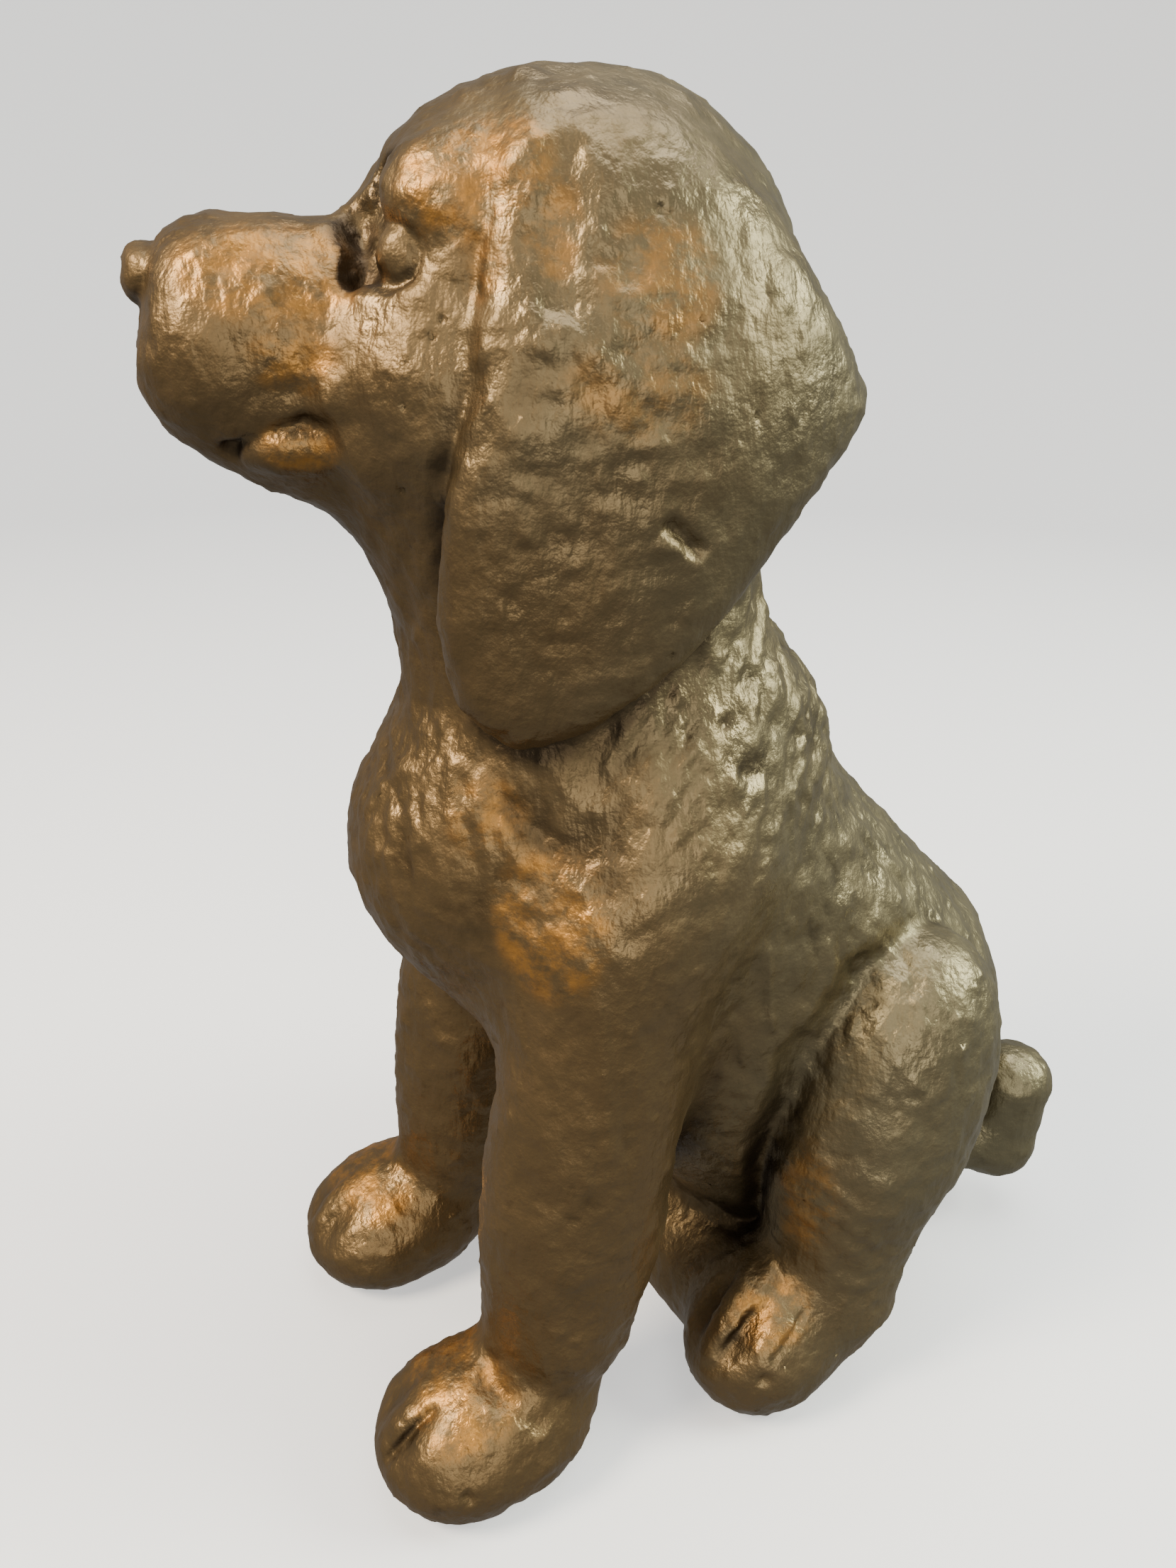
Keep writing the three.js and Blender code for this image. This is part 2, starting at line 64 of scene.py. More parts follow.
FLANK_HOLLOW = dict(blend=6, carve=True, paired=True)
TORSO = [
    mass("rib cage", at=(0, -26, 228), radii=(62, 68, 80)),
    mass("breast", 30, at=(0, -70, 230), radii=(44, 40, 44)),
    mass("brisket", 24, at=(0, -38, 182), radii=(42, 34, 36)),
    mass("back", 40, start=(0, 4, 225), end=(0, 76, 130), thick=(59, 77)),
    mass("rump", 30, at=(0, 84, 84), radii=(61, 72, 86)),
    mass("belly", 30, at=(0, 24, 138), radii=(53, 56, 66)),
    mass("neck", 36, start=(0, -20, 275), end=(0, -46, 345), thick=(51, 46)),
    mass("shoulder", 18, start=(28, 0, 285), end=(44, -24, 235), thick=(24, 34), paired=True),
    mass("shoulder blade", 14, at=(24, 23, 266), radii=(24, 24, 27), paired=True),
    mass("hollow above the thigh", start=(64, 80, 196), end=(72, 51, 183), thick=(4, 9), **FLANK_HOLLOW),
    mass("hollow before the thigh", start=(72, 51, 183), end=(72, 29, 154), thick=(9, 10), **FLANK_HOLLOW),
    mass("hollow of the flank", start=(72, 29, 154), end=(66, 23, 112), thick=(10, 11), **FLANK_HOLLOW),
    mass("hollow of the groin", start=(66, 23, 112), end=(55, 26, 72), thick=(11, 11), **FLANK_HOLLOW),
]
FORELEG = [
    mass("upper arm", start=(48, -40, 210), end=(54, -60, 60), thick=(32, 24)),
    mass("forearm", 14, at=(52, -52, 115), radii=(25, 33, 100), turn=(-7, 0, 0)),
]
HAUNCH = [
    mass("thigh", at=(61, 74, 128), radii=(34, 40, 63), turn=(-15, 0, 0)),
    mass("hock", 20, start=(62, 62, 98), end=(65, 52, 42), thick=(31, 28)),
]
SEAT = [
    mass("seat between the hind feet", start=(-50, 30, 20), end=(50, 30, 20), thick=(29, 29)),
    mass("underside of the rump", 20, at=(0, 72, 18), radii=(58, 66, 34)),
]
TAIL = [
    mass("root", start=(4, 134, 46), end=(22, 168, 42), thick=(24, 19)),
    mass("bend", 4, start=(22, 168, 42), end=(27, 175, 38), thick=(19, 17.5)),
    mass("tip", 4, start=(27, 175, 38), end=(28, 176.5, 70.5), thick=(17.5, 18.5)),
]
FORE_CREASE = dict(blend=6, radii=(3.4, 12, 1.4), turn=(45, 0, 0), carve=True)
HIND_CREASE = dict(blend=6, radii=(3.4, 14, 1.4), turn=(42, 0, 0), carve=True)
FOREPAW_AT, FOREPAW_HEADING = (56, -90, 0), 0
FOREPAW = [
    mass("pad", at=(0, 4, 23), radii=(31, 38, 28)),
    mass("toes", 10, at=(0, -13, 19), radii=(30, 27, 22)),
    mass("inner crease", at=(-11, -32, 34.3), **FORE_CREASE),
    mass("outer crease", at=(9, -32, 34.3), **FORE_CREASE),
]
HINDPAW_AT, HINDPAW_HEADING = (66, 24, 0), 14
HINDPAW = [
    mass("pad", at=(0, 10, 27), radii=(28, 42, 32)),
    mass("toes", 10, at=(0, -4, 22), radii=(27, 29, 25)),
    mass("inner crease", at=(-10, -23, 41.6), **HIND_CREASE),
    mass("outer crease", at=(9, -23, 41.6), **HIND_CREASE),
]
HEAD_AT, HEAD_YAW, HEAD_PITCH = (0, -50, 387), -14, 4
MUZZLE = [
    mass("bridge", start=(0, -30, -3), end=(0, -84, -3), thick=(33, 31)),
    mass("jaw", 8, start=(0, -30, -20), end=(0, -80, -9), thick=(31, 27)),
    mass("blunt end", 16, front_at=-107),
]
CUT_PAIR = dict(carve=True, paired=True)
SKULL = [
    mass("dome", at=(0, 2, 18), radii=(50, 53, 53)),
    mass("back of the head", 20, at=(0, 30, 16), radii=(48, 47, 54)),
    mass("nape", 24, start=(0, 34, -6), end=(0, 34, -50), thick=(43, 42)),
    mass("brow", 12, at=(28, -24, 34), radii=(15, 18, 16), paired=True),
    mass("muzzle", 12, masses=MUZZLE),
    mass("upper lip", 8, at=(14, -79, -12), radii=(17, 26, 19), paired=True),
    mass("chin", 8, at=(0, -60, -25), radii=(29, 30, 21)),
    mass("cheek", 14, at=(30, -18, -12), radii=(25, 34, 32), paired=True),
    mass("throat", 20, start=(0, -24, -26), end=(0, 6, -70), thick=(32, 38)),
    mass("nose", 2, at=(0, -105, 11), radii=(13, 6, 8)),
    mass("tear hollow", 4, at=(22, -49, 31), radii=(14, 7, 12), turn=(12, 0, 0), **CUT_PAIR),
    mass("tear slot", 3, start=(16, -43, 40), end=(27, -48, 15), thick=(6.5, 5), **CUT_PAIR),
    mass("eye socket", 4, at=(36, -42, 20), radii=(9, 9, 9), **CUT_PAIR),
    mass("eye", 1, at=(32, -36, 21), radii=(8, 8, 9), paired=True),
    mass("upper lid", 4, start=(30, -33, 42), end=(33, -34, 35), thick=(4.5, 4.5), paired=True),
    mass("outer lid", 3, start=(33, -34, 35), end=(44, -23, 19), thick=(4.5, 3), paired=True),
    mass("lower lid", 4, start=(29, -46, 10), end=(42, -33, 11), thick=(3, 3), paired=True),
    mass("mouth line", 4, start=(22, -82, -31), end=(35, -56, -21), thick=(2.4, 2.4), **CUT_PAIR),
    mass("lower lip", 3, at=(23, -62, -29), radii=(9, 17, 7.5), turn=(8, 0, 0), paired=True),
    mass("lip corner", 4, at=(30, -52, -14), radii=(8, 8, 9), paired=True),
    mass("jowl", 6, at=(33, -41, -28), radii=(8, 11, 10), paired=True),
]
EAR_OUTLINE = [
    (1, 46), (3, 28), (-6, 4), (-16, -38), (-17, -66), (-12, -87), (-2, -95),
    (11, -91), (38, -68), (62, -35), (85, -6), (60, 24), (28, 44),
]
EAR_ROUNDING, EAR_HALF_THICKNESS, EAR_EDGE, EAR_STAND_OFF = 11, 9, 12, 60
EAR_WIDEST_Y, EAR_WIDEST_Z = 22, -20
EAR_FALL_ABOVE, EAR_FALL_BELOW, EAR_FALL_FRONT, EAR_FALL_BACK = 0.0043, 0.001, 0.0016, 0.0056
EAR_ROOT = [
    mass("top ridge", 3, start=(20, -7, 63), end=(43, -8, 45), thick=(5, 6), paired=True),
    mass("front ridge", 4, start=(43, -8, 45), end=(54, -15, 2), thick=(6, 6.5), paired=True),
    mass("channel", 7, start=(54, 0, 48), end=(66, -2, 16), thick=(3, 5), **CUT_PAIR),
]
EAR_JOIN_LOW, EAR_JOIN_HIGH, EAR_CLEAR, EAR_MELTED = 18, 46, 4, 16
JOINS = dict(foreleg=20, forepaw=12, haunch=4, seat=10, hindpaw=8, tail=4, head=24, sole=3)
# Box around each group, low and high corner: outside it the group's distance is taken as FAR
FAR = 60.0
NEAR = dict(
    torso=((-130, -150, -40), (130, 230, 420)),
    foreleg=((-10, -180, -40), (130, 60, 300)),
    haunch=((-10, -10, -40), (130, 160, 230)),
    seat=((-110, -40, -40), (110, 180, 90)),
    hindpaw=((-10, -60, -40), (130, 120, 110)),
    tail=((-50, 80, -20), (80, 230, 120)),
    head=((-100, -150, -140), (100, 120, 110)),
    ear=((-10, -60, -140), (120, 140, 100)),
)


# Signed distances, below zero inside
def turn_matrix(rx, ry, rz):
    turned = [Matrix.Rotation(math.radians(a), 3, axis) for a, axis in ((rz, "Z"), (ry, "Y"), (rx, "X"))]
    return np.array(turned[0] @ turned[1] @ turned[2])


def local(points, at, turned=None):
    moved = points - np.array(at, float)
    return moved if turned is None else moved @ turned


def mirror(points):
    return np.column_stack([np.abs(points[:, 0]), points[:, 1], points[:, 2]])


def smooth_step(value, low, high):
    t = np.clip((value - low) / (high - low), 0, 1)
    return t * t * (3 - 2 * t)


def smooth_min(a, b, width):
    h = np.maximum(width - np.abs(a - b), 0) / width
    return np.minimum(a, b) - h * h * width * 0.25


def smooth_max(a, b, width):
    return -smooth_min(-a, -b, width)


def ellipsoid_distance(points, at, radii, turn=None):
    seen = local(points, at, None if turn is None else turn_matrix(*turn))
    radii = np.array(radii, float)
    k0 = np.sqrt(((seen / radii) ** 2).sum(-1))
    k1 = np.sqrt(((seen / (radii * radii)) ** 2).sum(-1))
    return k0 * (k0 - 1) / np.maximum(k1, 1e-9)


def limb_distance(points, start, end, thick):
    start = np.array(start, float)
    along = np.array(end, float) - start
    t = np.clip(((points - start) @ along) / (along @ along), 0, 1)
    gap = np.linalg.norm(points - start - t[:, None] * along, axis=1)
    return gap - (thick[0] + (thick[1] - thick[0]) * t)


def mass_distance(points, mirrored, m):
    seen = mirrored if m.get("paired") else points
    if "masses" in m:
        return group_distance(points, m["masses"])
    if "radii" in m:
        return ellipsoid_distance(seen, m["at"], m["radii"], m.get("turn"))
    return limb_distance(seen, m["start"], m["end"], m["thick"])


def with_masses(distance, points, mirrored, masses):
    for m in masses:
        if "front_at" in m:
            distance = smooth_max(distance, m["front_at"] - points[:, 1], m["blend"])
        elif m.get("carve"):
            distance = smooth_max(distance, -mass_distance(points, mirrored, m), m["blend"])
        else:
            distance = smooth_min(distance, mass_distance(points, mirrored, m), m["blend"])
    return distance


def group_distance(points, masses):
    mirrored = mirror(points)
    return with_masses(mass_distance(points, mirrored, masses[0]), points, mirrored, masses[1:])


def outline_distance(s, t, outline):
    nearest = np.full(s.shape, 1e9)
    inside = np.zeros(s.shape, bool)
    for (a_s, a_t), (b_s, b_t) in zip(outline, outline[1:] + outline[:1]):
        e_s, e_t = b_s - a_s, b_t - a_t
        u = np.clip(((s - a_s) * e_s + (t - a_t) * e_t) / (e_s * e_s + e_t * e_t), 0, 1)
        nearest = np.minimum(nearest, np.hypot(s - a_s - u * e_s, t - a_t - u * e_t))
        if a_t != b_t:
            inside ^= ((a_t > t) != (b_t > t)) & (s < e_s * (t - a_t) / e_t + a_s)
    return np.where(inside, -nearest, nearest)


def ear_distance(points):
    x, y, z = points.T
    rise, reach = z - EAR_WIDEST_Z, y - EAR_WIDEST_Y
    fall = np.where(rise > 0, EAR_FALL_ABOVE, EAR_FALL_BELOW) * rise * rise
    turn_in = np.where(reach > 0, EAR_FALL_BACK, EAR_FALL_FRONT) * reach * reach
    middle = EAR_STAND_OFF - fall - turn_in
    outline = outline_distance(y, z, EAR_OUTLINE) - EAR_ROUNDING
    return smooth_max(outline, np.abs(x - middle) - EAR_HALF_THICKNESS, EAR_EDGE)


def paw_distance(mirrored, at, heading, masses):
    seen = local(mirrored, at, turn_matrix(0, 0, heading))
    return smooth_max(group_distance(seen, masses), -seen[:, 2], JOINS["sole"])


def foreleg_distance(mirrored):
    paw = paw_distance(mirrored, FOREPAW_AT, FOREPAW_HEADING, FOREPAW)
    return smooth_min(group_distance(mirrored, FORELEG), paw, JOINS["forepaw"])


def hindpaw_distance(mirrored):
    return paw_distance(mirrored, HINDPAW_AT, HINDPAW_HEADING, HINDPAW)


def head_points(points):
    return local(points, HEAD_AT, turn_matrix(-HEAD_PITCH, 0, HEAD_YAW))


def where_near(points, group, distance):
    low, high = NEAR[group]
    near = ((points > low) & (points < high)).all(1)
    values = np.full(len(points), FAR)
    if near.any():
        values[near] = distance(points[near])
    return values


def dog_distance(points):
    beside = mirror(points)
    seen = head_points(points)
    d = where_near(points, "torso", lambda p: group_distance(p, TORSO))
    d = smooth_min(d, where_near(beside, "foreleg", foreleg_distance), JOINS["foreleg"])
    d = smooth_min(d, where_near(beside, "haunch", lambda p: group_distance(p, HAUNCH)), JOINS["haunch"])
    d = smooth_min(d, where_near(points, "seat", lambda p: group_distance(p, SEAT)), JOINS["seat"])
    d = smooth_min(d, where_near(beside, "hindpaw", hindpaw_distance), JOINS["hindpaw"])
    d = smooth_min(d, where_near(points, "tail", lambda p: group_distance(p, TAIL)), JOINS["tail"])
    d = smooth_min(d, where_near(seen, "head", lambda p: group_distance(p, SKULL)), JOINS["head"])
    ears = where_near(mirror(seen), "ear", ear_distance)
    melt = smooth_step(seen[:, 2], EAR_JOIN_LOW, EAR_JOIN_HIGH)
    d = smooth_min(d, ears, EAR_CLEAR + (EAR_MELTED - EAR_CLEAR) * melt)
    d = with_masses(d, seen, mirror(seen), EAR_ROOT)
    return np.maximum(d, -points[:, 2])


# Part of a grid of points that lies at one corner of every cell
def at_corner(shape, corner):
    return tuple(slice(o, n - 1 + o) for n, o in zip(shape, corner))


def repeated(values, times):
    for axis in range(3):
        values = np.repeat(values, times, axis)
    return values


# Distances on a grid: sampled coarsely everywhere, and finely only in cells that the skin may cross
def sampled_field():
    cells = [math.ceil((high - low) / COARSE_STEP) for low, high in SPACE]
    coarse = [low + COARSE_STEP * np.arange(n + 1) for (low, _), n in zip(SPACE, cells)]
    fine_step = COARSE_STEP / FINE_STEPS
    fine = [low + fine_step * np.arange(n * FINE_STEPS + 1) for (low, _), n in zip(SPACE, cells)]
    grid = np.stack(np.meshgrid(*coarse, indexing="ij"), -1)
    known = dog_distance(grid.reshape(-1, 3)).reshape(grid.shape[:3])
    near = np.abs(known) < COARSE_STEP * math.sqrt(3)
    near_cell = np.zeros(cells, bool)
    for corner in CORNERS:
        near_cell |= near[at_corner(near.shape, corner)]

    field = repeated(known, FINE_STEPS)[: len(fine[0]), : len(fine[1]), : len(fine[2])]
    field = field.astype(np.float32)
    near_cell = repeated(near_cell, FINE_STEPS)
    wanted = np.zeros(field.shape, bool)
    for corner in CORNERS:
        wanted[at_corner(field.shape, corner)] |= near_cell
    at = np.argwhere(wanted)
    places = np.column_stack([fine[axis][at[:, axis]] for axis in range(3)])
    values = np.empty(len(places), np.float32)
    for first in range(0, len(places), CHUNK_POINTS):
        chunk = slice(first, first + CHUNK_POINTS)
        values[chunk] = dog_distance(places[chunk])
    field[wanted] = values
    return field, fine


# One point in each crossed cell, at the mean of its edges' crossings
def cell_points(field, lines, at):
    total = np.zeros((len(at), 3))
    crossings = np.zeros(len(at))
    for axis in range(3):
        first, second = [a for a in range(3) if a != axis]
        for u, v in np.ndindex(2, 2):
            a = at.copy()
            a[:, first] += u
            a[:, second] += v
            b = a.copy()
            b[:, axis] += 1
            at_a, at_b = field[tuple(a.T)], field[tuple(b.T)]
            crossed = (at_a < 0) != (at_b < 0)
            t = np.where(crossed, at_a / np.where(crossed, at_a - at_b, 1), 0)
            place = a.astype(float)
            place[:, axis] += t
            total += place * crossed[:, None]
            crossings += crossed
    step = lines[0][1] - lines[0][0]
    low = np.array([line[0] for line in lines])
    return low + step * total / crossings[:, None]


# One four-sided face around each crossed edge, between the points of the four cells that meet there
def edge_faces(inside, number, axis):
    u, v = (axis + 1) % 3, (axis + 2) % 3
    along = np.moveaxis(inside, axis, 0)
    edges = np.argwhere(along[:-1] != along[1:]).T
    index = np.empty_like(edges)
    index[[axis] + [other for other in range(3) if other != axis]] = edges
    ring = []
    for du, dv in ((-1, -1), (0, -1), (0, 0), (-1, 0)):
        cell = index.copy()
        cell[u] += du
        cell[v] += dv
        ring.append(number[tuple(cell)])
    ring = np.stack(ring, 1)
    entering = ~inside[tuple(index)]
    ring[entering] = ring[entering][:, ::-1]
    return ring


def skin(field, lines):
    inside = field < 0
    corners_inside = np.zeros([n - 1 for n in field.shape], np.int8)
    for corner in CORNERS:
        corners_inside += inside[at_corner(field.shape, corner)]
    at = np.argwhere((corners_inside > 0) & (corners_inside < len(CORNERS)))
    number = np.full(corners_inside.shape, -1, np.int64)
    number[tuple(at.T)] = np.arange(len(at))
    faces = [edge_faces(inside, number, axis) for axis in range(3)]
    return cell_points(field, lines, at), np.concatenate(faces)


# Relief, in millimetres outward; noise has a feature about every "size" millimetres
NOISE_CELLS = 48
BROAD_WAVES = [dict(size=30, depth=0.8, seed=1), dict(size=13, depth=0.6, seed=2)]
FINE_WAVES = [dict(size=6.0, depth=0.5, seed=3), dict(size=3.6, depth=0.36, seed=4)]
SMOOTHER_EAR = 0.6
FLECKS = dict(size=(3.0, 3.0, 2.2), depth=0.9, seed=5, above=0.45)
SOLE_FADE = 8.0


# Fur strokes: place and reach of each patch, which way the strokes run, and their depth
def fur(name, at, reach, runs, depth):
    return dict(name=name, at=at, reach=reach, runs=runs, depth=depth)


FUR = [
    fur("nape and shoulder", (30, 0, 285), (75, 62, 85), (0.1, -0.55, -0.83), 0.95),
    fur("chest and throat", (0, -80, 262), (70, 52, 84), (0.25, 0.25, -0.94), 0.8),
    fur("back", (0, 60, 220), (85, 70, 110), (0.0, 0.55, -0.83), 0.75),
    fur("flank", (50, 20, 180), (55, 50, 60), (0.1, 0.3, -0.95), 0.5),
    fur("haunch", (60, 90, 140), (60, 55, 70), (0.1, 0.3, -0.95), 0.35),
    fur("far foreleg", (-54, -60, 110), (36, 40, 70), (0.0, 0.1, -1.0), 0.5),
]
STROKE_SIZE = (4.0, 4.0, 9.0)
FINER_STROKES, FINER_STROKE_DEPTH = 0.55, 0.5
FUR_SEED, FINER_FUR_SEED = 40, 60
FUR_LOWERED, EAR_LOWERED = 0.3, 0.3
EAR_PATCH = dict(at=(66, 12, -12), reach=(20, 36, 50), depth=0.85)
EAR_BUMPS = dict(size=(4.2, 1.9 * 4.2, 4.2), depth=1, seed=85)
EAR_SWELLS = dict(size=(12.6, 12.6, 8.4), depth=0.6, seed=86)
EAR_SKIN = (1.5, 4.0)
WRINKLES = dict(start=(68.4, 33, 103.9), end=(89.1, 48.1, 74.2), reach=26.0, spacing=11.0, depth=0.8)
WRINKLE_WANDER = dict(size=20, depth=11, seed=91)
WRINKLE_UNEVEN = dict(size=12, depth=0.5, seed=92)


# Lines pressed or scratched into the near side, from start to end; a depth below zero is raised
def mark(name, start, end, half_width, depth):
    return dict(name=name, start=start, end=end, half_width=half_width, depth=depth)


MARKS = [
    mark("slot on the ear", (73.2, -38.3, 347.6), (73.6, -30.5, 341.1), 4.0, 2.5),
    mark("fold above the near paw", (64.3, -92, 50.3), (80, -80, 40.2), 6.0, 0.9),
    mark("scratch on the near paw", (62.8, -111.5, 43.9), (61.6, -128.8, 25.9), 2.4, 1.2),
    mark("pit on the near paw", (85.6, -107.8, 25.8), (85.9, -106.5, 24.5), 3.0, 1.6),
    mark("fine crease on the hind paw", (83.8, 29.4, 50.4), (90.5, 11.6, 38.5), 2.0, 1.1),
    mark("dimple on the hind paw", (91.9, 7.4, 31.8), (91.9, 6.6, 31.2), 3.5, 1.4),
    mark("seam on the flank", (67.3, 8.6, 203.7), (65.1, 14.8, 168.8), 2.0, -0.9),
    mark("ridge on the near foreleg", (75.5, -57.8, 208.2), (80.5, -53.9, 150.6), 5.0, -0.9),
    mark("flat of the near foreleg", (71.5, -65.8, 184.1), (78.2, -65.2, 132.5), 12.0, 0.4),
    mark("hollow by the shoulder", (55.1, -48.2, 279.3), (68.7, -51.1, 246.6), 15.0, 2.2),
    mark("hollow on the chest", (47.9, -71.2, 262.0), (59.1, -59.9, 252.0), 13.0, 2.0),
    mark("inner groove of the hind paw", (73, 25.3, 57.3), (77.3, -8.6, 28.2), 4.5, 0.7),
    mark("groove before the thigh", (66, 54, 184), (68, 30, 152), 6.0, 0.8),
    mark("groove of the flank", (68, 30, 152), (60, 26, 100), 7.0, 0.9),
]
# Bubbles in the paint
BUBBLES = [
    (60.4, -38.2, 423.0), (70.0, -30.4, 398.1), (41.2, -91.7, 392.7), (39.5, -99.6, 376.3),
    (31.5, -98.4, 353.3), (22.3, -115.1, 377.8), (36.3, -102.2, 382.0), (73.8, -14.9, 375.1),
    (70.2, -35.0, 311.3), (41.0, -88.8, 396.9), (67.3, -19.6, 272.6),
]
BUBBLE_RADIUS, BUBBLE_DEPTH = 1.3, 1.8

# Painted warm highlights, where the gold turns to a bright copper as if lit by a warm lamp: in the head's
# frame, and on the body
PAINTED_HIGHLIGHT_HEAD = [
    dict(at=(44, -22, 42), reach=(18, 24, 20), share=0.85),
    dict(at=(25, -70, 16), reach=(18, 30, 18), share=0.77),
    dict(at=(32, -64, -6), reach=(11, 15, 10), share=0.68),
    dict(at=(32, -64, -28), reach=(9, 13, 8), share=0.77),
    dict(at=(54, -3, 30), reach=(10, 9, 20), share=0.51),
    dict(at=(61, 24, 22), reach=(12, 19, 22), share=0.51),
    dict(at=(67, 20, -4), reach=(11, 24, 16), share=0.42),
    dict(at=(51, -17, 20), reach=(9, 9, 10), share=0.51),
]
PAINTED_HIGHLIGHT_BODY = [
    dict(at=(62, -68, 228), reach=(22, 22, 28), share=0.80),
    dict(at=(43, -80, 258), reach=(17, 15, 15), share=0.56),
    dict(at=(66, -101, 45), reach=(20, 22, 18), share=0.80),
    dict(at=(44, -102, 46), reach=(16, 20, 16), share=0.72),
    dict(at=(81, 16, 50), reach=(15, 19, 15), share=0.64),
    dict(at=(74, 30, 95), reach=(15, 20, 30), share=0.48),
]


# Smooth random values between -1 and 1
def noise(points, size, seed):
    table = np.random.default_rng(seed).uniform(-1, 1, (NOISE_CELLS,) * 3)
    scaled = points / np.array(size, float)
    base = np.floor(scaled).astype(int)
    t = scaled - base
    t = t * t * (3 - 2 * t)
    value = np.zeros(len(points))
    for corner in CORNERS:
        weight = np.prod(np.where(corner, t, 1 - t), axis=1)
        cell = (base + corner) % NOISE_CELLS
        value += weight * table[cell[:, 0], cell[:, 1], cell[:, 2]]
    return value


def waves(points, wave):
    return wave["depth"] * noise(points, wave["size"], wave["seed"])


# A patch fades from its full weight to none between these shares of its reach
PATCH_EDGE = (0.55, 1.15)


def patch_weight(points, at, reach):
    away = np.sqrt((((points - np.array(at, float)) / np.array(reach, float)) ** 2).sum(1))
    return 1 - smooth_step(away, *PATCH_EDGE)


def line_distance(points, start, end):
    return limb_distance(points, start, end, (0, 0))


def dent(distance, width):
    return np.clip(1 - (distance / width) ** 2, 0, 1) ** 2


# Points turned so that the third coordinate runs along the strokes
def stroke_points(points, runs):
    along = Vector(runs).normalized()
    across = along.orthogonal().normalized()
    return points @ np.array([across, along.cross(across), along]).T


def fur_relief(points):
    finer_size = [FINER_STROKES * s for s in STROKE_SIZE]
    total = np.zeros(len(points))
    for i, patch in enumerate(FUR):
        weight = patch_weight(points, patch["at"], patch["reach"])
        seen = stroke_points(points, patch["runs"])
        strokes = noise(seen, STROKE_SIZE, FUR_SEED + i)
        finer = noise(seen, finer_size, FINER_FUR_SEED + i)
        total += weight * patch["depth"] * (strokes + FINER_STROKE_DEPTH * finer - FUR_LOWERED)
    return total


def ear_relief(points):
    seen = mirror(head_points(points))
    on_ear = 1 - smooth_step(np.abs(ear_distance(seen)), *EAR_SKIN)
    weight = on_ear * patch_weight(seen, EAR_PATCH["at"], EAR_PATCH["reach"])
    height = waves(seen, EAR_BUMPS) + waves(seen, EAR_SWELLS) - EAR_LOWERED
    return weight * EAR_PATCH["depth"] * height, on_ear


def wrinkle_relief(points):
    away = line_distance(points, WRINKLES["start"], WRINKLES["end"])
    weight = 1 - smooth_step(away, 0.3 * WRINKLES["reach"], WRINKLES["reach"])
    run = points[:, 2] + 0.5 * points[:, 1] + waves(points, WRINKLE_WANDER)
    wave = np.sin(run * 2 * math.pi / WRINKLES["spacing"])
    return weight * WRINKLES["depth"] * wave * (0.5 + waves(points, WRINKLE_UNEVEN))


def relief(points):
    on_ear_relief, on_ear = ear_relief(points)
    total = sum(waves(points, wave) for wave in BROAD_WAVES) * (1 - SMOOTHER_EAR * on_ear)
    for wave in FINE_WAVES:
        total += waves(points, wave)
    total += (1 - on_ear) * fur_relief(points) + on_ear_relief + wrinkle_relief(points)
    flecks = noise(points, FLECKS["size"], FLECKS["seed"]) - FLECKS["above"]
    total += FLECKS["depth"] * np.maximum(flecks, 0)
    for m in MARKS:
        total -= m["depth"] * dent(line_distance(points, m["start"], m["end"]), m["half_width"])
    for bubble in BUBBLES:
        away = np.linalg.norm(local(points, bubble), axis=1)
        total -= BUBBLE_DEPTH * dent(away, BUBBLE_RADIUS)
    return total * smooth_step(points[:, 2], 0, SOLE_FADE)


def point_normals(points, faces):
    a, b, c, d = [points[faces[:, corner]] for corner in range(4)]
    diagonals = np.cross(c - a, d - b)
    normals = np.zeros_like(points)
    for corner in range(4):
        np.add.at(normals, faces[:, corner], diagonals)
    return normals / np.maximum(np.linalg.norm(normals, axis=1, keepdims=True), 1e-9)


def object_from(name, points, faces):
    data = bpy.data.meshes.new(name)
    data.from_pydata(((points - BOX_MIDDLE) * MM).tolist(), [], faces.tolist())
    data.update()
    made = bpy.data.objects.new(name, data)
    bpy.context.scene.collection.objects.link(made)
    return made


# Fewer faces where the skin is flat, at most MOST_TRIANGLES in all
def thinned(made):
    triangles = 2 * len(made.data.polygons)
    if triangles > MOST_TRIANGLES:
        modifier = made.modifiers.new("thin", "DECIMATE")
        modifier.ratio = MOST_TRIANGLES / triangles
        modifier.use_collapse_triangulate = True
        graph = bpy.context.evaluated_depsgraph_get()
        made.data = bpy.data.meshes.new_from_object(made.evaluated_get(graph))
        made.modifiers.clear()
    made.data.polygons.foreach_set("use_smooth", [True] * len(made.data.polygons))
    return made


def mesh_vectors(collection, key):
    values = np.zeros(len(collection) * 3, np.float32)
    collection.foreach_get(key, values)
    return values.reshape(-1, 3).astype(float)


# Share of the painted warm highlight at each point
def painted_highlight_weight(points):
    weight = np.zeros(len(points))
    for place, patches in ((points, PAINTED_HIGHLIGHT_BODY), (head_points(points), PAINTED_HIGHLIGHT_HEAD)):
        seen = mirror(place)
        for patch in patches:
            near = patch_weight(seen, patch["at"], patch["reach"])
            weight = np.maximum(weight, patch["share"] * near)
    return weight


HOLLOW_REACHES = (7.0, 18.0)


# How closed in each point is, from 0 on open skin to 1 deep in a hollow (used for painted shade), its
# relief, and how strongly it takes the painted warm highlight
def mark_points(made):
    points = mesh_vectors(made.data.vertices, "co") / MM + BOX_MIDDLE
    normals = mesh_vectors(made.data.vertex_normals, "vector")
    hollow = np.zeros(len(points))
    for reach in HOLLOW_REACHES:
        free = dog_distance(points + normals * reach) - dog_distance(points)
        hollow += np.clip(1 - free / reach, 0, 1) / len(HOLLOW_REACHES)
    marks = (("hollow", hollow), ("relief", relief(points)), ("painted_highlight", painted_highlight_weight(points)))
    for name, values in marks:
        attribute = made.data.attributes.new(name, "FLOAT", "POINT")
        attribute.data.foreach_set("value", values.astype(np.float32))


